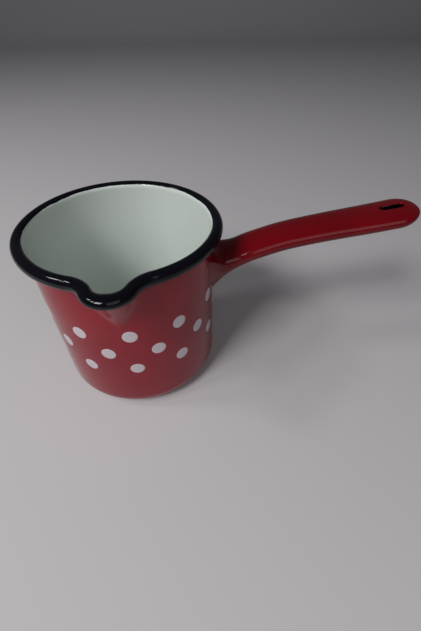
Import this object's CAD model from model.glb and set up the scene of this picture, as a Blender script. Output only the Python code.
import functools
import math

import bmesh
import bpy
from bpy.props import FloatProperty, FloatVectorProperty, IntProperty, PointerProperty
from mathutils import Matrix, Vector, noise


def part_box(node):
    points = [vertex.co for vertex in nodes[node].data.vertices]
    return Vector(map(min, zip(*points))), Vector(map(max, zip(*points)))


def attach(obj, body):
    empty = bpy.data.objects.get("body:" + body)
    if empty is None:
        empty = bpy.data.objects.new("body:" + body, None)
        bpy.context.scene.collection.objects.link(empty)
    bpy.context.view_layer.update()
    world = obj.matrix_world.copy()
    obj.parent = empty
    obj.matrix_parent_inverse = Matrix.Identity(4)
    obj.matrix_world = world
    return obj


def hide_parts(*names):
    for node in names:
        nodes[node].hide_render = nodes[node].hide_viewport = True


bl_info = {
    "name": "Enamelled Milk Pan",
    "version": (1, 0, 0),
    "blender": (4, 5, 0),
    "location": "3D View > Sidebar > Milk Pan",
    "description": "Dresses the packed milk pan in glossy enamel, piece by piece",
    "category": "Object",
}

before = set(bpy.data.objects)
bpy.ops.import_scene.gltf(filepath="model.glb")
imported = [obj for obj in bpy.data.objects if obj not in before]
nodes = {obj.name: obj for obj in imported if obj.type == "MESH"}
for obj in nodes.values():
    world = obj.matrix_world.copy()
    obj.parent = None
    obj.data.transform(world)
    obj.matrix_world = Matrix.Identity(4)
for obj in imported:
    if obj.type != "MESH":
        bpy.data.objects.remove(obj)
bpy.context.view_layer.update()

# Steps along the nose, shoulder, front, side and back of each half of the bowl's plan
ARC_STEPS = (8, 8, 32, 12, 60)
FULL_TURN = 2 * sum(ARC_STEPS)

# Angles, in degrees, that take the nose's and shoulder's place where the wall has no lip
PLAIN_TURNS = (-90, -88, -86)

# Growth of the pouring lip from its root to the rim
LIP_LEVELS = (0.0, 0.2, 0.4, 0.6, 0.8, 1.0)
LIP_GROWTH = (0.0, 0.055, 0.24, 0.52, 0.80, 1.0)

# Rows of faces round the base corner, up the plain wall and up to the rim, and rings on the base
CORNER_ROWS = 10
PLAIN_ROWS = 4
LIP_ROWS = 20
BASE_RINGS = 8

# Thicker roll at the lip: columns from the nose, shares of the thickness there, and how far below the
# roll's middle it fades out on the wall and on the black coat
THICK_COLUMNS = (0, 8, 16, 30)
THICK_SHARES = (1.0, 0.6, 0.25, 0.0)
WALL_FADE = 0.016
RIM_FADE = 0.0025

# Black coat on the roll: angles, in degrees, where it starts to waver and where its edge lies
BLACK_START = 100
BLACK_EDGE = 146

# Black coat across the crevice under the roll: distances in from the roll's middle, heights over its
# foot, and climb up the wall
CREVICE = ((0.0006, 0.00004), (0.0016, 0.00035), (0.0023, 0.0003))
CREVICE_CLIMB = 0.0012

# Wavering of the black edge: degrees and how finely they waver, how many degrees further it runs at
# the lip's nose, and over how many columns that fades
WAVERS = ((7, 3), (4, 11), (3, 31))
NOSE_RUN = 24
NOSE_COLUMNS = 8

# Sections of the handle, in shares of its sizes: station along it, level of its widest line, half
# width, height above and depth below that line, and fullness of its lower curve
SECTION_ROWS = (
    (-0.103, 0.44, 2.03, 1.52, 7.18, 0.46),
    (-0.041, 0.35, 1.83, 1.10, 6.11, 0.46),
    (0.0, 0.22, 1.33, 0.62, 4.77, 0.46),
    (0.021, 0.12, 1.19, 0.62, 3.87, 0.46),
    (0.045, 0.04, 1.10, 0.86, 2.87, 0.47),
    (0.072, 0.01, 1.04, 1.06, 2.05, 0.50),
    (0.106, 0.034, 1.01, 1.12, 1.42, 0.55),
    (0.147, 0.117, 1.0, 1.12, 1.15, 0.60),
    (0.199, 0.221, 1.0, 1.06, 1.06, 0.63),
    (0.336, 0.428, 1.0, 1.01, 1.01, 0.64),
    (0.473, 0.559, 1.02, 0.98, 0.98, 0.64),
    (0.61, 0.662, 1.05, 0.96, 0.96, 0.64),
    (0.747, 0.755, 1.09, 0.94, 0.94, 0.64),
    (0.888, 0.86, 1.12, 0.90, 0.90, 0.64),
)
STATIONS, LEVELS, WIDTHS, ABOVES, BELOWS, FULLNESS = zip(*SECTION_ROWS)

# Fullness of the sections' upper curve, level of the handle's tip, the row beside the wall that the dots
# keep clear of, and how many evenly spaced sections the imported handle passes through
UPPER_FULLNESS = 0.64
TIP_LEVEL = 0.98
ROOT_ROW = 3
SECTIONS = 24

# Swelling of the coat round the handle's root, in shares of the coat, and the places along the
# handle between which it fades
ROOT_SWELL = 0.5
SWELL_PLACES = (0.075, 0.144)

# Steps half way round the handle and rows along its flared root, its plain run, each round end of the
# slot, the slot's straight sides and the handle's tip
AROUND_STEPS = 28
ROOT_ROWS = 16
RUN_STEPS = 64
BOW_STEPS = 7
SLOT_STEPS = 8
TIP_STEPS = 14

# Flared root: where it starts in the coat and ends along the handle, in shares of the coat and the
# length, how its rows crowd towards the wall, and how far into the bowl its start is looked for
ROOT_SINK = 0.6
ROOT_REACH = 0.12
ROOT_CROWDING = 1.4
ROOT_SEARCH = 0.1
HALVINGS = 30

# Enamel that turns into the slot: shares of its rounding that are left outwards and gone down
SLOT_ROUNDING = ((0.62, 0.10), (0.25, 0.35), (0.0, 1.0))

# Share of its thickness that each layer of the handle takes up, clear of the next layer
LAYER_SHARE = 0.98

# Fired enamel: heights of its waves and orange peel, share and scale of its specks, how much its
# roughness varies, and the depth of a speck
GLAZE_INPUTS = {
    "Wave Height": 0.00003,
    "Peel Height": 0.0000016,
    "Speck Share": 0.05,
    "Speck Scale": 260,
    "Haze": 0.05,
}
SPECK_DEPTH = 0.000004
ENAMEL_IOR = 1.46

# Enamels by the name of their colour: name, darker and lighter scale of that colour, colour of their
# specks, roughness, gloss, and what is set in the shared surface
ENAMELS = {
    "body_red": ("Body Red Enamel", 0.92, 1.06, (0.03, 0.002, 0.004), 0.08, 0.5, {"Speck Share": 0.04}),
    "handle_red": ("Handle Red Enamel", 0.85, 1.1, (0.02, 0.001, 0.003), 0.08, 0.35, {"Speck Share": 0.04}),
    "rim_black": ("Rim Black Enamel", 0.8, 1.3, (0.02, 0.02, 0.025), 0.06, 0.3, {"Wave Height": 0.00005}),
    "inside_white": ("Inside White Enamel", 0.97, 1.02, (0.2, 0.2, 0.2), 0.10, 0.5, {"Speck Share": 0.06}),
    "dot_white": ("Dot Enamel", 0.96, 1.03, (0.4, 0.3, 0.3), 0.12, 0.5, {"Speck Share": 0.03}),
    "base_grey": (
        "Base Dark Enamel", 0.8, 1.4, (0.12, 0.12, 0.13), 0.22, 0.5,
        {"Speck Share": 0.16, "Speck Scale": 500},
    ),
    "ground_grey": (
        "Ground Coat", 0.8, 1.3, (0.08, 0.08, 0.085), 0.35, 0.5,
        {"Speck Share": 0.2, "Speck Scale": 600},
    ),
}

# Steels by name: roughness and height of their ripple in metres
STEELS = {
    "Pressed Steel": (0.3, 0.000004),
    "Rolled Steel": (0.3, 0.000004),
    "Weld Steel": (0.42, 0.00002),
}


def length(name, default, description):
    """A length that the user can change, in metres."""
    return FloatProperty(
        name=name, default=default, description=description, unit="LENGTH", precision=5
    )


def angle(name, degrees, description):
    """An angle that the user can change."""
    turn = math.radians(degrees)
    return FloatProperty(name=name, default=turn, description=description, subtype="ANGLE")


def colour(name, default, description):
    """A colour that the user can change."""
    return FloatVectorProperty(
        name=name, default=default, description=description, subtype="COLOR", size=3, min=0, max=1
    )


def power(name, default, description):
    """A lamp's power that the user can change, in watts."""
    return FloatProperty(name=name, default=default, description=description, unit="POWER", min=0)


class BowlSizes(bpy.types.PropertyGroup):
    """Sizes of the bowl, its rolled rim and its pouring lip."""

    wall_radius: length("Wall radius", 0.061, "From the axis to the finished wall")
    height: length("Height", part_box("rim_enamel")[1].z, "From the underside to the rim's top")
    corner_radius: length("Corner radius", 0.014, "Between the wall and the base")
    sheet: length("Sheet", 0.0007, "Thickness of the pressed steel")
    coat: length("Coat", 0.0003, "Thickness of one coat of enamel")
    roll_radius: length("Roll radius", 0.00365, "Outside of the steel roll round the rim")
    roll_thickening: length("Roll thickening", 0.003, "How much thicker the roll is at the nose")
    mouth_flare: length("Mouth flare", 0.0006, "How far the wall opens out below the rim")
    mouth_squeeze: length("Mouth squeeze", 0.00265, "How far the mouth's front is drawn back")
    side_tightening: length("Side tightening", 0.00945, "How much tighter the mouth's sides curve")
    lip_reach: length("Lip reach", 0.01245, "How far the pouring lip stands out")
    nose_radius: length("Nose radius", 0.0101, "Round end of the lip")
    shoulder_radius: length("Shoulder radius", 0.0215, "Hollow curve on each side of the lip")
    lip_turn: angle("Lip turn", -1.0, "How far the lip stands off square")
    lip_depth: length("Lip depth", 0.041, "How far below the rim the lip fades out")


class HandleSizes(bpy.types.PropertyGroup):
    """Sizes of the hollow handle and its hanging slot."""

    length: length("Length", 0.14599, "From the wall to the handle's end")
    rise: length("Rise", 0.029, "How far its middle line climbs")
    half_width: length("Half width", 0.0145, "Half of its plain run's width")
    half_depth: length("Half depth", 0.0069, "Half of its plain run's depth")
    end_half_width: length("End half width", 0.0163, "Half width where the end starts to round")
    foot_level: length("Foot level", 0.0948, "Height of its middle line beside the bowl")
    sheet: length("Sheet", 0.0008, "Thickness of the rolled steel")
    weld_height: length("Weld height", 0.0005, "How far the weld stands off the bowl")
    slot_length: length("Slot length", 0.017, "Length of the hanging slot")
    slot_width: length("Slot width", 0.006, "Width of the hanging slot")
    slot_setback: length("Slot setback", 0.0193, "From the slot's middle to the handle's end")
    slot_edge: length("Slot edge", 0.0004, "Rounding of the enamel where it turns into the slot")


class DotSizes(bpy.types.PropertyGroup):
    """Sizes of the dots and the pattern that they stand in."""

    radius: length("Dot radius", 0.0049, "Radius of one dot")
    proud: length("Dot thickness", 0.00005, "How far a dot stands out of the red enamel")
    columns: IntProperty(name="Columns", default=23, min=1, description="Columns round the wall")
    column_pitch: angle("Column pitch", 15.68, "From one column to the next")
    turn: angle("Turn", 2.35, "How far the middle column stands off the lip")
    lowest_row: length("Lowest row", 0.048, "Height of the lowest row's middle")
    row_pitch: length("Row pitch", 0.016, "From one row to the next")
    root_clearance: length("Root clearance", 0.0015, "Room between a dot and the handle's root")


class FinishColours(bpy.types.PropertyGroup):
    """Colours of the enamels and of what they leave bare."""

    body_red: colour("Body red", (0.25, 0.009, 0.019), "Enamel on the bowl's outside")
    handle_red: colour("Handle red", (0.15, 0.0018, 0.005), "Enamel on the handle")
    rim_black: colour("Rim black", (0.0035, 0.0035, 0.0065), "Enamel on the rolled rim")
    inside_white: colour("Inside white", (0.675, 0.725, 0.685), "Enamel inside the bowl")
    dot_white: colour("Dot white", (0.60, 0.54, 0.58), "Dots on the wall")
    base_grey: colour("Base grey", (0.010, 0.010, 0.013), "Enamel on the underside")
    ground_grey: colour("Ground grey", (0.018, 0.017, 0.019), "Ground coat inside the handle")
    steel: colour("Steel", (0.36, 0.35, 0.34), "Steel under the enamel")


class StageLook(bpy.types.PropertyGroup):
    """Floor, lamps and camera."""

    floor: colour("Floor", (0.62, 0.60, 0.61), "Plain floor and backdrop")
    sky: colour("Sky", (0.055, 0.055, 0.062), "Even light of the room")
    key_power: power("Key power", 11.5, "Main soft lamp")
    front_power: power("Front power", 6.0, "Wide weak lamp")
    side_power: power("Side power", 2.4, "Each of the small lamps")
    lens: FloatProperty(name="Lens", default=19.345, min=1, unit="CAMERA", description="Focal length")


def polar(radius, turn):
    """Point at a radius and an angle in degrees."""
    return radius * math.cos(math.radians(turn)), radius * math.sin(math.radians(turn))


def arc(centre, radius, first, last, steps):
    """Points of an arc between two angles in degrees."""
    turns = [first + (last - first) * i / steps for i in range(steps + 1)]
    places = [polar(radius, turn) for turn in turns]
    return [(centre[0] + along, centre[1] + up) for along, up in places]


def smooth_value(places, values, place):
    """Value at a place on the smooth curve that passes through the values at their places."""
    last = len(places) - 1
    index = max(i for i in range(last) if i == 0 or places[i] <= place)

    def slope(i):
        before, after = max(i - 1, 0), min(i + 1, last)
        return (values[after] - values[before]) / (places[after] - places[before])

    width = places[index + 1] - places[index]
    t = (place - places[index]) / width
    rise = (3 * t ** 2 - 2 * t ** 3) * (values[index + 1] - values[index])
    bend = (t ** 3 - 2 * t ** 2 + t) * slope(index) + (t ** 3 - t ** 2) * slope(index + 1)
    return values[index] + rise + width * bend


def halve(low, high, is_low):
    """The two sides, very close together, of the place where a test stops being true."""
    for _ in range(HALVINGS):
        middle = (low + high) / 2
        if is_low(middle):
            low = middle
        else:
            high = middle
    return low, high


def roll_centre(bowl):
    """Distance from the axis and height of the middle of the rim's roll, before the mouth flares."""
    reach = bowl.wall_radius + bowl.roll_radius - bowl.sheet - bowl.coat
    return reach, bowl.height - bowl.coat - bowl.roll_radius


def lip_share(bowl, height):
    """How much of the pouring lip there is at a height, from 0 at its root to 1 at the rim."""
    top = roll_centre(bowl)[1]
    root = bowl.height - bowl.lip_depth
    if height <= root:
        return 0.0
    if height >= top:
        return 1.0
    return smooth_value(LIP_LEVELS, LIP_GROWTH, (height - root) / (top - root))


def outline_arcs(bowl, share):
    """Right half of the bowl's plan outline from the lip's nose to its back, as (centre, radius,
    first angle, last angle, side), where side is -1 on the shoulder, whose centre lies outside."""
    main = bowl.wall_radius + share * bowl.mouth_flare
    squeeze = bowl.mouth_squeeze
    bulge = squeeze ** 2 / (2 * (bowl.side_tightening - squeeze))
    front_y, front = share * (squeeze + bulge), main + share * bulge
    side_x = share * bowl.side_tightening
    side_turn = -math.degrees(math.atan2(squeeze + bulge, bowl.side_tightening))
    if share == 0:
        front_start = PLAIN_TURNS[-1]
        arcs = [((0, 0), main, *ends, 1) for ends in zip(PLAIN_TURNS, PLAIN_TURNS[1:])]
    else:
        nose, shoulder = bowl.nose_radius, bowl.shoulder_radius
        nose_y = nose - bowl.wall_radius - share * bowl.lip_reach
        to_front, to_nose, span = front + shoulder, nose + shoulder, front_y - nose_y
        drop = (to_front ** 2 - to_nose ** 2 + span ** 2) / (2 * span)
        x, y = math.sqrt(to_front ** 2 - drop ** 2), front_y - drop
        nose_end = math.degrees(math.atan2(y - nose_y, x))
        front_start = math.degrees(math.atan2(-drop, x))
        arcs = [
            ((0, nose_y), nose, -90, nose_end, 1),
            ((x, y), shoulder, nose_end + 180, front_start + 180, -1),
        ]
    return arcs + [
        ((0, front_y), front, front_start, side_turn, 1),
        ((side_x, 0), main - side_x, side_turn, 0, 1),
        ((0, 0), main, 0, 90, 1),
    ]


def outline_point(arcs, column, inset):
    """Point of the outline at one of its columns, counted from the nose, moved in by inset."""
    step = min(column, FULL_TURN - column)
    index = 0
    while index < len(ARC_STEPS) - 1 and step > ARC_STEPS[index]:
        step -= ARC_STEPS[index]
        index += 1
    (x, y), radius, first, last, side = arcs[index]
    turn = first + (last - first) * step / ARC_STEPS[index]
    along, across = polar(radius - side * inset, turn)
    return (x + along) * (1 if 2 * column <= FULL_TURN else -1), y + across


def column_of(point):
    """Which column of the outline a point of a full spin lies in, counted from the nose."""
    turn = (math.atan2(point.y, point.x) + math.pi / 2) / math.tau
    return round(turn * FULL_TURN) % FULL_TURN


def spin_profile(bm, points, steps, closed=True):
    """Spins a profile of (distance from the axis, height) points into a closed solid."""
    verts = [bm.verts.new((x, 0, z)) for x, z in points]
    edges = [bm.edges.new(pair) for pair in zip(verts, verts[1:])]
    if closed:
        edges.append(bm.edges.new((verts[-1], verts[0])))
    bmesh.ops.spin(
        bm, geom=verts + edges, cent=(0, 0, 0), axis=(0, 0, 1), dvec=(0, 0, 0),
        angle=math.tau, steps=steps, use_merge=True,
    )


def close_up(bm):
    """Merges doubles and turns every face outwards."""
    bmesh.ops.remove_doubles(bm, verts=bm.verts, dist=1e-7)
    bmesh.ops.dissolve_degenerate(bm, edges=bm.edges, dist=1e-8)
    bmesh.ops.recalc_face_normals(bm, faces=bm.faces)


def lip_thickening(bowl, flat, height, column, fade_depth):
    """How far a point on the roll's inner side moves back from the lip, where the roll is thicker;
    it fades out by a depth below the roll's middle."""
    reach, level = roll_centre(bowl)
    inward = min((reach - flat) / (bowl.roll_radius + bowl.coat), 1)
    down = min(max((level - height) / fade_depth, 0), 1)
    from_nose = min(column, FULL_TURN - column)
    if inward <= 0 or down == 1 or from_nose >= THICK_COLUMNS[-1]:
        return 0
    fade = 1 - down ** 2 * (3 - 2 * down)
    share = smooth_value(THICK_COLUMNS, THICK_SHARES, from_nose)
    return bowl.roll_thickening * share * inward * fade


def follow_outline(bm, bowl, fade_depth=None):
    """Presses a full spin into the bowl's plan, with its pouring lip and, if a depth is given, with
    the lip's thicker roll."""
    arcs_at = {}
    for vert in bm.verts:
        height = round(vert.co.z, 7)
        if height not in arcs_at:
            arcs_at[height] = outline_arcs(bowl, lip_share(bowl, height))
        flat, column = vert.co.xy.length, column_of(vert.co)
        vert.co.x, vert.co.y = outline_point(arcs_at[height], column, bowl.wall_radius - flat)
        if fade_depth:
            vert.co.y += lip_thickening(bowl, flat, height, column, fade_depth)
    turn = Matrix.Rotation(bowl.lip_turn, 3, "Z")
    bmesh.ops.rotate(bm, cent=(0, 0, 0), matrix=turn, verts=bm.verts)


def add_object(name, bm, material):
    """Makes a smooth mesh object from a bmesh."""
    mesh = bpy.data.meshes.new(name)
    bm.to_mesh(mesh)
    bm.free()
    mesh.shade_smooth()
    made = bpy.data.objects.new(name, mesh)
    bpy.context.scene.collection.objects.link(made)
    made.data.materials.append(material)
    return made


def piece(name, bm, material, replaced):
    """Makes a finished piece from a bmesh, in place of the CAD nodes that it stands for."""
    made = add_object(name, bm, material)
    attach(made, "root")
    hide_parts(*replaced)
    return made


def bowl_skin(bowl, inset, top):
    """Profile of one side of a coat on the bowl, from the flat base to a height on the wall, its
    points close together where the lip grows."""
    corner, root = bowl.corner_radius, bowl.height - bowl.lip_depth
    radius = bowl.wall_radius - inset
    bend = arc((bowl.wall_radius - corner, corner), corner - inset, -90, 0, CORNER_ROWS)
    plain = [(radius, corner + (root - corner) * i / PLAIN_ROWS) for i in range(1, PLAIN_ROWS)]
    lip = [(radius, root + (top - root) * i / LIP_ROWS) for i in range(LIP_ROWS + 1)]
    return bend + plain + lip


class MILKPAN_OT_outside(bpy.types.Operator):
    """Red enamel on the wall and the base corner"""

    bl_idname = "milkpan.outside"
    bl_label = "Outside Enamel"

    def execute(self, context):
        bowl = context.scene.milkpan_bowl
        top = roll_centre(bowl)[1] - bowl.roll_radius - bowl.coat
        back = bowl_skin(bowl, bowl.coat, top)[::-1]
        bm = bmesh.new()
        spin_profile(bm, bowl_skin(bowl, 0, top) + back, FULL_TURN)
        follow_outline(bm, bowl)
        close_up(bm)
        red = enamel(context, "body_red")
        piece("outside_red_enamel", bm, red, ["outside_enamel"])
        return {"FINISHED"}


class MILKPAN_OT_pressing(bpy.types.Operator):
    """Pressed steel under the bowl's enamel, with its open roll round the rim"""

    bl_idname = "milkpan.pressing"
    bl_label = "Steel Pressing"

    def execute(self, context):
        bowl = context.scene.milkpan_bowl
        centre = roll_centre(bowl)
        skin, lining = bowl.coat, bowl.coat + bowl.sheet
        inner = [(0, lining)] + bowl_skin(bowl, lining, centre[1])[:-1]
        end = -130
        roll = arc(centre, bowl.roll_radius, 180, end, 36)
        hollow = arc(centre, bowl.roll_radius - bowl.sheet, end, 180, 36)
        outer = bowl_skin(bowl, skin, centre[1])[:-1][::-1] + [(0, skin)]
        bm = bmesh.new()
        spin_profile(bm, inner + roll + hollow + outer, FULL_TURN, closed=False)
        follow_outline(bm, bowl, WALL_FADE)
        close_up(bm)
        metal = steel(context, "Pressed Steel")
        piece("pressed_steel_bowl", bm, metal, ["bowl_shell"])
        return {"FINISHED"}


class MILKPAN_OT_inside(bpy.types.Operator):
    """White enamel inside the bowl, up to the roll and in under its black coat"""

    bl_idname = "milkpan.inside"
    bl_label = "Inside Enamel"

    def execute(self, context):
        bowl = context.scene.milkpan_bowl
        centre = roll_centre(bowl)
        roll = bowl.roll_radius + bowl.coat
        shown, hidden = 2 * bowl.coat + bowl.sheet, bowl.coat + bowl.sheet
        sink_start, sink_end, end, sink = 172, 166, 122, 0.00005
        over = arc(centre, roll, 180, sink_start, 1)[1:]
        over += arc(centre, roll - sink, sink_end, end, 8)
        back = arc(centre, bowl.roll_radius, end, 180, 8)
        front = [(0, shown)] + bowl_skin(bowl, shown, centre[1])
        behind = bowl_skin(bowl, hidden, centre[1])[:-1][::-1] + [(0, hidden)]
        bm = bmesh.new()
        spin_profile(bm, front + over + back + behind, FULL_TURN, closed=False)
        follow_outline(bm, bowl, WALL_FADE)
        close_up(bm)
        white = enamel(context, "inside_white")
        piece("inside_white_enamel", bm, white, ["inside_enamel"])
        return {"FINISHED"}


def paint_reach(column):
    """Degrees of roll by which the black coat runs further into the bowl at a column."""
    turn = math.tau * column / FULL_TURN
    place = Vector((math.cos(turn), math.sin(turn), 0))
    wander = sum(degrees * noise.noise(place * fineness) for degrees, fineness in WAVERS)
    from_nose = min(column, FULL_TURN - column)
    return wander + NOSE_RUN * math.exp(-(from_nose / NOSE_COLUMNS) ** 2)


class MILKPAN_OT_rim(bpy.types.Operator):
    """Black enamel round the rolled rim, with the wavering edge of a coat put on by hand"""

    bl_idname = "milkpan.rim"
    bl_label = "Rim Enamel"

    def execute(self, context):
        bowl = context.scene.milkpan_bowl
        centre = roll_centre(bowl)
        roll = bowl.roll_radius + bowl.coat
        under, foot = bowl.wall_radius - bowl.coat, centre[1] - roll
        crevice = [(centre[0] - inwards, foot + up) for inwards, up in CREVICE]
        crevice += [(under, foot), (under, foot + CREVICE_CLIMB)]
        hidden_end, edge_turn, edge_sink = -115, 1.5, 0.00016
        outer = arc(centre, roll, BLACK_EDGE, -90, 60)
        inner = arc(centre, bowl.roll_radius, hidden_end, BLACK_EDGE, 50)
        outer[0] = arc(centre, roll - edge_sink, BLACK_EDGE + edge_turn, 0, 1)[0]
        bm = bmesh.new()
        spin_profile(bm, outer + crevice + inner, FULL_TURN)
        self.waver(bm, centre)
        follow_outline(bm, bowl, RIM_FADE)
        close_up(bm)
        black = enamel(context, "rim_black")
        piece("rim_black_enamel", bm, black, ["rim_enamel"])
        return {"FINISHED"}

    @staticmethod
    def waver(bm, centre):
        """Draws the coat's edge further round the roll by a reach that changes along the rim."""
        for vert in bm.verts:
            along, up = vert.co.xy.length - centre[0], vert.co.z - centre[1]
            turn, radius = math.degrees(math.atan2(up, along)), math.hypot(along, up)
            if turn > BLACK_START:
                share = ((turn - BLACK_START) / (BLACK_EDGE - BLACK_START)) ** 2
                along, up = polar(radius, turn + paint_reach(column_of(vert.co)) * share)
                outwards = vert.co.xy.normalized() * (centre[0] + along)
                vert.co = (outwards.x, outwards.y, centre[1] + up)


class MILKPAN_OT_base(bpy.types.Operator):
    """Dark enamel on the flat underside"""

    bl_idname = "milkpan.base"
    bl_label = "Base Enamel"

    def execute(self, context):
        bowl = context.scene.milkpan_bowl
        edge = bowl.wall_radius - bowl.corner_radius
        radii = [edge * i / BASE_RINGS for i in range(BASE_RINGS + 1)]
        under = [(radius, 0) for radius in radii]
        over = [(radius, bowl.coat) for radius in reversed(radii)]
        bm = bmesh.new()
        spin_profile(bm, under + over, FULL_TURN, closed=False)
        close_up(bm)
        dark = enamel(context, "base_grey")
        piece("base_dark_enamel", bm, dark, ["base_enamel"])
        return {"FINISHED"}


@functools.lru_cache
def loft_curve(shares, last_place):
    """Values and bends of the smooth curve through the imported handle's evenly spaced sections."""
    first = STATIONS[0]
    places = [first + (last_place - first) * i / (SECTIONS - 1) for i in range(SECTIONS)]
    values = [smooth_value(STATIONS, shares, place) for place in places]
    pulls, loads = [0.0], [0.0]
    for before, here, after in zip(values, values[1:], values[2:]):
        pull = 1 / (4 - pulls[-1])
        loads.append(pull * (6 * (before - 2 * here + after) - loads[-1]))
        pulls.append(pull)
    bends = [0.0]
    for pull, load in zip(reversed(pulls[1:]), reversed(loads[1:])):
        bends.append(load - pull * bends[-1])
    return values, [0.0] + bends[::-1]


def loft_value(shares, place, last_place):
    """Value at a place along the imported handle."""
    values, bends = loft_curve(shares, last_place)
    steps = (place - STATIONS[0]) / (last_place - STATIONS[0]) * (SECTIONS - 1)
    index = min(max(int(steps), 0), SECTIONS - 2)
    t = steps - index
    bend = ((1 - t) ** 3 - (1 - t)) * bends[index] + (t ** 3 - t) * bends[index + 1]
    return (1 - t) * values[index] + t * values[index + 1] + bend / 6


def handle_section(bowl, handle, x):
    """Level, half width, height above, depth below and lower fullness of the section at x."""
    end = bowl.wall_radius + handle.length
    round_start = end - handle.end_half_width
    last_place = 1 - handle.end_half_width / handle.length
    place = (min(x, round_start) - bowl.wall_radius) / handle.length
    swell_start, swell_end = SWELL_PLACES
    swell_share = min(max((swell_end - place) / (swell_end - swell_start), 0), 1)
    swell = ROOT_SWELL * bowl.coat * swell_share
    columns = (LEVELS, WIDTHS, ABOVES, BELOWS, FULLNESS)
    shares = [loft_value(column, place, last_place) for column in columns]
    level = handle.foot_level + shares[0] * handle.rise
    width = shares[1] * handle.half_width + swell
    above, below = (share * handle.half_depth + swell for share in shares[2:4])
    if x > round_start:
        along = min((x - round_start) / handle.end_half_width, 1)
        across = math.sqrt(max(1 - along ** 2, 0))
        tip_level = handle.foot_level + TIP_LEVEL * handle.rise
        level += (tip_level - level) * along
        width, above, below = width * across, above * across, below * across
    return level, width, above, below, shares[4]


def section_point(section, around):
    """Half width and height of a section's outline, which runs from its top at 0 by its side at 1
    to its foot at 2."""
    level, width, above, below, fullness = section
    upper = around < 1
    t = around if upper else 2 - around
    full = UPPER_FULLNESS if upper else fullness
    across = 3 * (1 - t) ** 2 * t * full + 3 * (1 - t) * t ** 2 + t ** 3
    away = (1 - t) ** 3 + 3 * (1 - t) ** 2 * t + 3 * (1 - t) * t ** 2 * full
    return width * across, level + (above if upper else -below) * away


def around_at(section, around, shift):
    """Place round a section whose half width is the one at around, squeezed to leave shift free."""
    width = section[1]
    if shift <= 0 or width <= shift:
        return around
    wanted = shift + section_point(section, around)[0] * (1 - shift / width)
    middle = 0.0 if around < 1 else 2.0
    low, high = halve(middle, 1.0, lambda place: section_point(section, place)[0] < wanted)
    return (low + high) / 2


def meets_wall(bowl, handle, around, radius):
    """Distance along the handle at which a line on its surface comes out of the bowl's wall."""

    def is_inside(x):
        return math.hypot(x, section_point(handle_section(bowl, handle, x), around)[0]) < radius

    wall = bowl.wall_radius
    return halve(wall - ROOT_SEARCH * handle.length, wall, is_inside)[1]


def slot_middle(bowl, handle):
    """Distance from the bowl's axis to the middle of the hanging slot."""
    return bowl.wall_radius + handle.length - handle.slot_setback


def slot_half_width(handle, centre, x, growth):
    """Half width of the hanging slot at x, widened all round by growth."""
    radius = handle.slot_width / 2
    from_end = abs(x - centre) - (handle.slot_length / 2 - radius)
    reach = radius + growth
    if from_end <= 0:
        return reach
    return math.sqrt(max(reach ** 2 - from_end ** 2, 0))


def handle_rows(bowl, handle, blend_end, growth):
    """Distances of the handle's rows after its flared root, close together by the slot's ends."""
    end = bowl.wall_radius + handle.length
    centre = slot_middle(bowl, handle)
    reach = handle.slot_length / 2 + growth
    bow = handle.slot_width / 2 + growth
    turns = [math.pi / 2 * i / BOW_STEPS for i in range(BOW_STEPS + 1)]
    first = [centre - reach + bow * (1 - math.cos(turn)) for turn in turns]
    last = [centre + reach - bow * (1 - math.cos(turn)) for turn in reversed(turns)]
    run = [blend_end + (first[0] - blend_end) * i / RUN_STEPS for i in range(1, RUN_STEPS)]
    middle = [first[-1] + (last[0] - first[-1]) * i / SLOT_STEPS for i in range(1, SLOT_STEPS)]
    radius = handle.end_half_width
    round_start = end - radius
    start = math.asin((last[-1] - round_start) / radius)
    tip_turns = [start + (math.pi / 2 - start) * i / TIP_STEPS for i in range(1, TIP_STEPS + 1)]
    tip = [round_start + radius * math.sin(turn) for turn in tip_turns]
    return run + first + middle + last + tip


def handle_surface(bowl, handle):
    """Outer surface of the handle, from inside the wall's enamel to its rounded end, open at the
    slot."""
    growth = handle.slot_edge
    slot_centre = slot_middle(bowl, handle)
    blend_end = bowl.wall_radius + ROOT_REACH * handle.length
    rows = handle_rows(bowl, handle, blend_end, growth)
    last_row = ROOT_ROWS + len(rows) - 1
    arounds = [1 - math.cos(math.pi * j / AROUND_STEPS) for j in range(AROUND_STEPS + 1)]
    radius = bowl.wall_radius - ROOT_SINK * bowl.coat
    starts = [meets_wall(bowl, handle, around, radius) for around in arounds]
    bm = bmesh.new()
    bmesh.ops.create_grid(bm, x_segments=last_row, y_segments=AROUND_STEPS, size=1)
    for vert in bm.verts:
        i = round((vert.co.x + 1) / 2 * last_row)
        j = round((vert.co.y + 1) / 2 * AROUND_STEPS)
        if i < ROOT_ROWS:
            share = (i / (ROOT_ROWS - 1)) ** ROOT_CROWDING
            x = starts[j] + (blend_end - starts[j]) * share
        else:
            x = rows[i - ROOT_ROWS]
        section = handle_section(bowl, handle, x)
        free = slot_half_width(handle, slot_centre, x, growth)
        y, z = section_point(section, around_at(section, arounds[j], free))
        vert.co = (x, free if j in (0, AROUND_STEPS) else y, z)
    half = bm.verts[:] + bm.edges[:] + bm.faces[:]
    bmesh.ops.mirror(bm, geom=half, axis="Y", merge_dist=1e-6)
    close_up(bm)
    return bm


def sink_surface(bm, depth):
    """Moves a surface inwards along its normals."""
    bm.normal_update()
    places = {vert: vert.co - vert.normal * depth for vert in bm.verts}
    for vert, place in places.items():
        vert.co = place


def give_thickness(made, thickness):
    """Thickens a surface inwards, a little short of the next layer."""
    skin = made.modifiers.new("Thickness", "SOLIDIFY")
    skin.thickness = LAYER_SHARE * thickness
    skin.offset = -1


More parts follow.
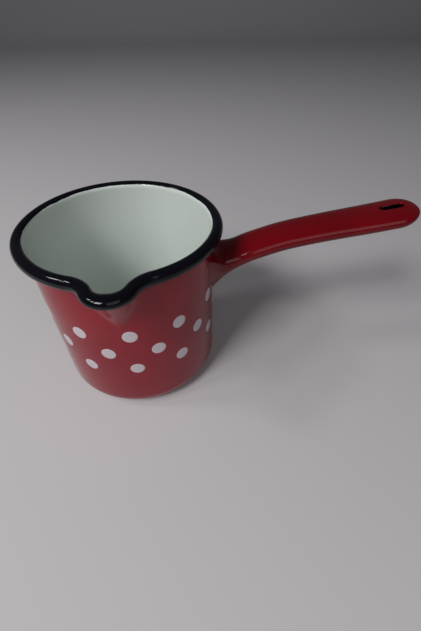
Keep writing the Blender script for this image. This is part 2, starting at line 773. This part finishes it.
class MILKPAN_OT_handle(bpy.types.Operator):
    """Red enamel on the hollow handle, flared on to the wall and turned in through the slot"""

    bl_idname = "milkpan.handle"
    bl_label = "Handle Enamel"

    def execute(self, context):
        bowl, handle = context.scene.milkpan_bowl, context.scene.milkpan_handle
        bm = handle_surface(bowl, handle)
        self.turn_in(bm, handle, slot_middle(bowl, handle), bowl.coat)
        bmesh.ops.recalc_face_normals(bm, faces=bm.faces)
        red = enamel(context, "handle_red")
        made = piece("handle_red_enamel", bm, red, ["handle_enamel"])
        give_thickness(made, bowl.coat)
        return {"FINISHED"}

    @staticmethod
    def turn_in(bm, handle, centre, coat):
        """Rounds the enamel over both edges of the slot and lines the sheet's thickness."""
        growth = handle.slot_edge
        bow = handle.slot_width / 2 + growth
        straight = handle.slot_length / 2 - handle.slot_width / 2
        depth = handle.sheet + 2 * coat
        reach = handle.slot_length
        edges = [e for e in bm.edges if e.is_boundary and abs(e.verts[0].co.x - centre) < reach]
        middle = sum(e.verts[0].co.z for e in edges) / len(edges)
        on_top = {e: (e.verts[0].co.z + e.verts[1].co.z) / 2 > middle for e in edges}
        for top in (True, False):
            ring = [e for e in edges if on_top[e] == top]
            base = {vert: vert.co.copy() for e in ring for vert in e.verts}
            heights = {(round(co.x, 7), co.y > 0): co.z for co in base.values()}
            for share, sink in SLOT_ROUNDING + ((0.0, depth / growth),):
                grown = bmesh.ops.extrude_edge_only(bm, edges=ring)["geom"]
                verts = [g for g in grown if isinstance(g, bmesh.types.BMVert)]
                ring = [g for g in grown if isinstance(g, bmesh.types.BMEdge)]
                sources = {}
                for vert in verts:
                    others = (e.other_vert(vert) for e in vert.link_edges if e not in ring)
                    sources[vert] = base[next(other for other in others if other in base)]
                for vert, source in sources.items():
                    from_line = Vector((source.x - centre, source.y))
                    spine = max(-straight, min(straight, from_line.x))
                    out = Vector((from_line.x - spine, from_line.y))
                    scale = (handle.slot_width / 2 + share * growth) / bow
                    level = heights[(round(source.x, 7), source.y > 0)]
                    z = level + (-1 if top else 1) * sink * growth
                    vert.co = (centre + spine + out.x * scale, out.y * scale, z)
                base = sources


class MILKPAN_OT_sheet(bpy.types.Operator):
    """Rolled steel of the handle, its weld to the bowl and the dark coat inside it"""

    bl_idname = "milkpan.sheet"
    bl_label = "Handle Steel"

    def execute(self, context):
        bowl, handle = context.scene.milkpan_bowl, context.scene.milkpan_handle
        tube, weld = steel(context, "Rolled Steel"), steel(context, "Weld Steel")
        dark, coat, sheet = enamel(context, "ground_grey"), bowl.coat, handle.sheet
        # Name, material, replaced node, slot, depth, thickness, and whether it is the part by the wall
        layers = (
            ("rolled_steel_handle", tube, "handle_tube", "handle_steel", coat, sheet, False),
            ("steel_root_weld", weld, "handle_root_weld", "weld_steel", coat, bowl.sheet, True),
            ("dark_handle_lining", dark, "handle_ground_coat", "ground_coat", coat + sheet, coat, False),
        )
        limit = bowl.wall_radius + handle.weld_height
        for name, material, node, slot, depth, thickness, by_wall in layers:
            bm = handle_surface(bowl, handle)
            near = {face: face.calc_center_median().xy.length < limit for face in bm.faces}
            surplus = [face for face in near if near[face] != by_wall]
            bmesh.ops.delete(bm, geom=surplus, context="FACES")
            sink_surface(bm, depth)
            give_thickness(piece(name, bm, material, [node]), thickness)
        return {"FINISHED"}


class MILKPAN_OT_dots(bpy.types.Operator):
    """White dots in staggered columns round the wall"""

    bl_idname = "milkpan.dots"
    bl_label = "Dots"

    def execute(self, context):
        bowl, dots = context.scene.milkpan_bowl, context.scene.milkpan_dots
        handle = context.scene.milkpan_handle
        bm = bmesh.new()
        for column in range(dots.columns):
            step = column - dots.columns // 2
            turn = step * dots.column_pitch + dots.turn - math.pi / 2
            for row in (1,) if step % 2 else (0, 2):
                height = dots.lowest_row + row * dots.row_pitch
                if self.is_clear(bowl, handle, dots, turn, height):
                    self.add_dot(bm, bowl, dots, turn, height)
        bmesh.ops.recalc_face_normals(bm, faces=bm.faces)
        white = enamel(context, "dot_white")
        piece("white_dots", bm, white, ["dot_transfers"])
        return {"FINISHED"}

    @staticmethod
    def is_clear(bowl, handle, dots, turn, height):
        """Whether a dot stands clear of the handle's root."""
        half_width = WIDTHS[ROOT_ROW] * handle.half_width + dots.root_clearance
        across = abs(bowl.wall_radius * math.sin(turn))
        beside = math.cos(turn) < 0 or across > half_width + dots.radius
        level = handle.foot_level + LEVELS[ROOT_ROW] * handle.rise
        foot = level - BELOWS[ROOT_ROW] * handle.half_depth
        return beside or height + dots.radius < foot - dots.root_clearance

    @staticmethod
    def add_dot(bm, bowl, dots, turn, height):
        """One thin disc with a soft edge, laid round the wall."""
        before = set(bm.verts)
        radius, proud, sunk = dots.radius, dots.proud, -0.00012
        rings, steps, soft_width, steep_width = 5, 48, 0.00012, 0.00003
        face = [(radius * i / rings, proud) for i in range(rings)]
        edge = [(radius - soft_width, proud), (radius - steep_width, 0.5 * proud)]
        back = [(radius, sunk), (0.5 * radius, sunk), (0, sunk)]
        spin_profile(bm, face + edge + back, steps, closed=False)
        new = [v for v in bm.verts if v not in before]
        bmesh.ops.remove_doubles(bm, verts=new, dist=1e-7)
        for vert in [v for v in bm.verts if v not in before]:
            away = turn + math.asin(vert.co.x / bowl.wall_radius)
            reach = bowl.wall_radius + vert.co.z
            vert.co = (reach * math.cos(away), reach * math.sin(away), height + vert.co.y)


class Tree:
    """Short calls for building a node tree."""

    def __init__(self, tree):
        self.tree = tree

    def link(self, source, target):
        self.tree.links.new(source, target)

    def node(self, kind, **values):
        """A node whose inputs are set to values or linked to sockets, by name."""
        made = self.tree.nodes.new(kind)
        for name, value in values.items():
            self.put(made.inputs[name.replace("_", " ")], value)
        return made

    def put(self, socket, value):
        """Links a socket to another or sets it to a value."""
        if isinstance(value, bpy.types.NodeSocket):
            self.link(value, socket)
        else:
            socket.default_value = value

    def math(self, operation, first, second):
        """Result of a calculation on two values or sockets."""
        made = self.tree.nodes.new("ShaderNodeMath")
        made.operation = operation
        self.put(made.inputs[0], first)
        self.put(made.inputs[1], second)
        return made.outputs[0]

    def noise(self, place, scale, detail):
        """Noise in the space of a vector."""
        return self.node("ShaderNodeTexNoise", Vector=place, Scale=scale, Detail=detail).outputs[0]

    def spread(self, value, low, high):
        """A value stretched so that low becomes 0 and high becomes 1, and kept between them."""
        return self.node("ShaderNodeMapRange", Value=value, From_Min=low, From_Max=high).outputs[0]

    def mix(self, share, first, second):
        """Mix of two colours."""
        made = self.tree.nodes.new("ShaderNodeMix")
        made.data_type = "RGBA"
        self.put(made.inputs["Factor"], share)
        self.put(made.inputs[6], first)
        self.put(made.inputs[7], second)
        return made.outputs[2]

    def place(self):
        """Place on the object, in metres."""
        return self.node("ShaderNodeTexCoord").outputs["Object"]


def add_socket(group, label, side):
    """A value that goes into a node group or comes out of it."""
    return group.interface.new_socket(name=label, in_out=side, socket_type="NodeSocketFloat")


def glaze_group():
    """Surface of fired enamel, all from noise in metres: slow waves, orange peel, and pinholes that
    are also specks of another colour."""
    name = "Fired Glaze"
    if name in bpy.data.node_groups:
        return bpy.data.node_groups[name]
    group = bpy.data.node_groups.new(name, "ShaderNodeTree")
    for label, default in GLAZE_INPUTS.items():
        add_socket(group, label, "INPUT").default_value = default
    for label in ("Height", "Haze", "Specks", "Tone"):
        add_socket(group, label, "OUTPUT")
    tree = Tree(group)
    given = group.nodes.new("NodeGroupInput").outputs
    result = group.nodes.new("NodeGroupOutput").inputs
    place = tree.place()
    waves = tree.noise(place, scale=55, detail=1)
    peel = tree.noise(place, scale=1100, detail=2)
    tone = tree.noise(place, scale=21, detail=3)
    smear = tree.noise(place, scale=140, detail=4)
    cells = tree.node("ShaderNodeTexVoronoi", Vector=place, Scale=given["Speck Scale"])
    size = tree.math("MULTIPLY", tree.noise(place, scale=90, detail=1), given["Speck Share"])
    specks = tree.math("LESS_THAN", cells.outputs["Distance"], size)
    waves_height = tree.math("MULTIPLY", waves, given["Wave Height"])
    peel_height = tree.math("MULTIPLY", peel, given["Peel Height"])
    height = tree.math("ADD", waves_height, peel_height)
    dip = tree.math("MULTIPLY", specks, SPECK_DEPTH)
    tree.link(tree.math("SUBTRACT", height, dip), result["Height"])
    tree.link(tree.math("MULTIPLY", smear, given["Haze"]), result["Haze"])
    tree.link(specks, result["Specks"])
    tree.link(tone, result["Tone"])
    return group


def rgba(values, scale=1.0):
    """Colour of four parts from three, made lighter or darker by a scale."""
    return (*(min(scale * v, 1) for v in values), 1)


def new_material(name):
    """A new material, its node tree and its surface shader."""
    material = bpy.data.materials.new(name)
    material.use_nodes = True
    return material, Tree(material.node_tree), material.node_tree.nodes["Principled BSDF"]


def enamel(context, which):
    """Glossy enamel with a slow drift of tone, specks, and its surface from the shared group."""
    name, dark, light, speck, roughness, gloss, settings = ENAMELS[which]
    base = getattr(context.scene.milkpan_colours, which)
    material, tree, shader = new_material(name)
    surface = material.node_tree.nodes.new("ShaderNodeGroup")
    surface.node_tree = glaze_group()
    for label, value in settings.items():
        surface.inputs[label].default_value = value
    drift = tree.spread(surface.outputs["Tone"], low=0.35, high=0.65)
    ground = tree.mix(drift, rgba(base, dark), rgba(base, light))
    tree.link(tree.mix(surface.outputs["Specks"], ground, rgba(speck)), shader.inputs["Base Color"])
    tree.link(tree.math("ADD", surface.outputs["Haze"], roughness), shader.inputs["Roughness"])
    bump = tree.node("ShaderNodeBump", Height=surface.outputs["Height"], Distance=1.0)
    tree.link(bump.outputs[0], shader.inputs["Normal"])
    shader.inputs["IOR"].default_value = ENAMEL_IOR
    shader.inputs["Specular IOR Level"].default_value = gloss
    return material


def steel(context, name):
    """Bare steel under the enamel, cloudy in tone and finely rippled."""
    if name in bpy.data.materials:
        return bpy.data.materials[name]
    roughness, ripple = STEELS[name]
    base = context.scene.milkpan_colours.steel
    material, tree, shader = new_material(name)
    place = tree.place()
    grain = tree.noise(place, scale=900, detail=3)
    cloud = tree.spread(tree.noise(place, scale=60, detail=3), low=0.3, high=0.7)
    tone = tree.mix(cloud, rgba(base, 0.7), rgba(base, 1.1))
    tree.link(tone, shader.inputs["Base Color"])
    rough = tree.math("ADD", tree.math("MULTIPLY", grain, 0.2), roughness)
    tree.link(rough, shader.inputs["Roughness"])
    height = tree.math("MULTIPLY", grain, ripple)
    bump = tree.node("ShaderNodeBump", Height=height, Distance=1.0)
    tree.link(bump.outputs[0], shader.inputs["Normal"])
    shader.inputs["Metallic"].default_value = 1.0
    return material


class MILKPAN_OT_seam(bpy.types.Operator):
    """Steel of the weld along the handle's underside, which stays as it was packed"""

    bl_idname = "milkpan.seam"
    bl_label = "Handle Seam Weld"

    def execute(self, context):
        seam = nodes["handle_seam_weld"].data.materials
        seam.clear()
        seam.append(steel(context, "Weld Steel"))
        return {"FINISHED"}


class MILKPAN_OT_stage(bpy.types.Operator):
    """Plain pale floor, soft lamps and the camera"""

    bl_idname = "milkpan.stage"
    bl_label = "Floor, Lamps and Camera"

    def execute(self, context):
        look = context.scene.milkpan_stage
        self.add_floor(look)
        self.add_room(context, look)
        self.add_lamp("Key Lamp", (-0.72, -0.72, 1.15), 0.45, look.key_power)
        self.add_lamp("Left Lamp", (-0.95, -0.33, 1.15), 0.2, look.side_power)
        self.add_lamp("Far Left Lamp", (-1.0, 0.05, 1.15), 0.2, look.side_power)
        self.add_lamp("Front Lamp", (0.4, -1.6, 1.3), 1.4, look.front_power)
        self.add_camera(context, look)
        context.scene.view_settings.view_transform = "Standard"
        return {"FINISHED"}

    @staticmethod
    def add_floor(look):
        """A wide floor that bends up into a backdrop a long way behind the pan."""
        bm = bmesh.new()
        bmesh.ops.create_grid(bm, x_segments=2, y_segments=60, size=1)
        half_width, half_run, in_front, bend_start, bend_radius = 4, 3.2, 2.6, 2.2, 1.0
        for vert in bm.verts:
            run = (vert.co.y + 1) * half_run - in_front
            turn = min(max((run - bend_start) / bend_radius, 0), math.pi / 2)
            climb = max(run - bend_start - bend_radius * math.pi / 2, 0)
            y = min(run, bend_start) + bend_radius * math.sin(turn)
            z = bend_radius * (1 - math.cos(turn)) + climb
            vert.co = (vert.co.x * half_width, y, z)
        bmesh.ops.recalc_face_normals(bm, faces=bm.faces)
        material, tree, shader = new_material("Floor Paper")
        cloud = tree.noise(tree.place(), scale=1.5, detail=2)
        tone = tree.mix(cloud, rgba(look.floor, 0.98), rgba(look.floor, 1.02))
        tree.link(tone, shader.inputs["Base Color"])
        shader.inputs["Roughness"].default_value = 0.9
        shader.inputs["Specular IOR Level"].default_value = 0.2
        floor = add_object("floor", bm, material)

    @staticmethod
    def add_room(context, look):
        """Even light from all round."""
        world = bpy.data.worlds.new("Room")
        context.scene.world = world
        world.use_nodes = True
        world.node_tree.nodes["Background"].inputs["Color"].default_value = rgba(look.sky)

    @staticmethod
    def add_lamp(name, place, size, power):
        """A soft square lamp that faces the pan."""
        lamp = bpy.data.lights.new(name, "AREA")
        lamp.size, lamp.energy = size, power
        made = bpy.data.objects.new(name, lamp)
        made.location = place
        pan_middle = Vector((0.02, 0, 0.08))
        facing = pan_middle - made.location
        made.rotation_euler = facing.to_track_quat("-Z", "Y").to_euler()
        bpy.context.scene.collection.objects.link(made)

    @staticmethod
    def add_camera(context, look):
        """The camera, held above the lip and looking down past it."""
        place, yaw, pitch, roll = (0.03765, -0.2072, 0.2375), 0.1059, -0.7756, -0.0074
        camera = bpy.data.cameras.new("Camera")
        camera.lens, camera.sensor_width = look.lens, 36
        camera.clip_start = 0.01
        made = bpy.data.objects.new("Camera", camera)
        made.matrix_world = (
            Matrix.Translation(place)
            @ Matrix.Rotation(-yaw, 4, "Z")
            @ Matrix.Rotation(math.pi / 2 + pitch, 4, "X")
            @ Matrix.Rotation(roll, 4, "Z")
        )
        context.scene.collection.objects.link(made)
        context.scene.camera = made


class MILKPAN_PT_panel(bpy.types.Panel):
    """Lists the steps that dress the pan"""

    bl_idname = "MILKPAN_PT_panel"
    bl_label = "Milk Pan"
    bl_space_type = "VIEW_3D"
    bl_region_type = "UI"
    bl_category = "Milk Pan"

    def draw(self, context):
        for step in OPERATORS:
            self.layout.operator(step.bl_idname)


GROUPS = {
    "milkpan_bowl": BowlSizes,
    "milkpan_handle": HandleSizes,
    "milkpan_dots": DotSizes,
    "milkpan_colours": FinishColours,
    "milkpan_stage": StageLook,
}
OPERATORS = (
    MILKPAN_OT_pressing,
    MILKPAN_OT_outside,
    MILKPAN_OT_inside,
    MILKPAN_OT_rim,
    MILKPAN_OT_base,
    MILKPAN_OT_handle,
    MILKPAN_OT_sheet,
    MILKPAN_OT_dots,
    MILKPAN_OT_seam,
    MILKPAN_OT_stage,
)


CLASSES = (*GROUPS.values(), *OPERATORS, MILKPAN_PT_panel)


def register():
    for made in CLASSES:
        bpy.utils.register_class(made)
    for name, group in GROUPS.items():
        setattr(bpy.types.Scene, name, PointerProperty(type=group))


def unregister():
    for name in GROUPS:
        delattr(bpy.types.Scene, name)
    for made in reversed(CLASSES):
        bpy.utils.unregister_class(made)


def main():
    register()
    for operator in OPERATORS:
        area, step = operator.bl_idname.split(".")
        getattr(getattr(bpy.ops, area), step)()
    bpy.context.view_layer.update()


if __name__ == "__main__":
    main()
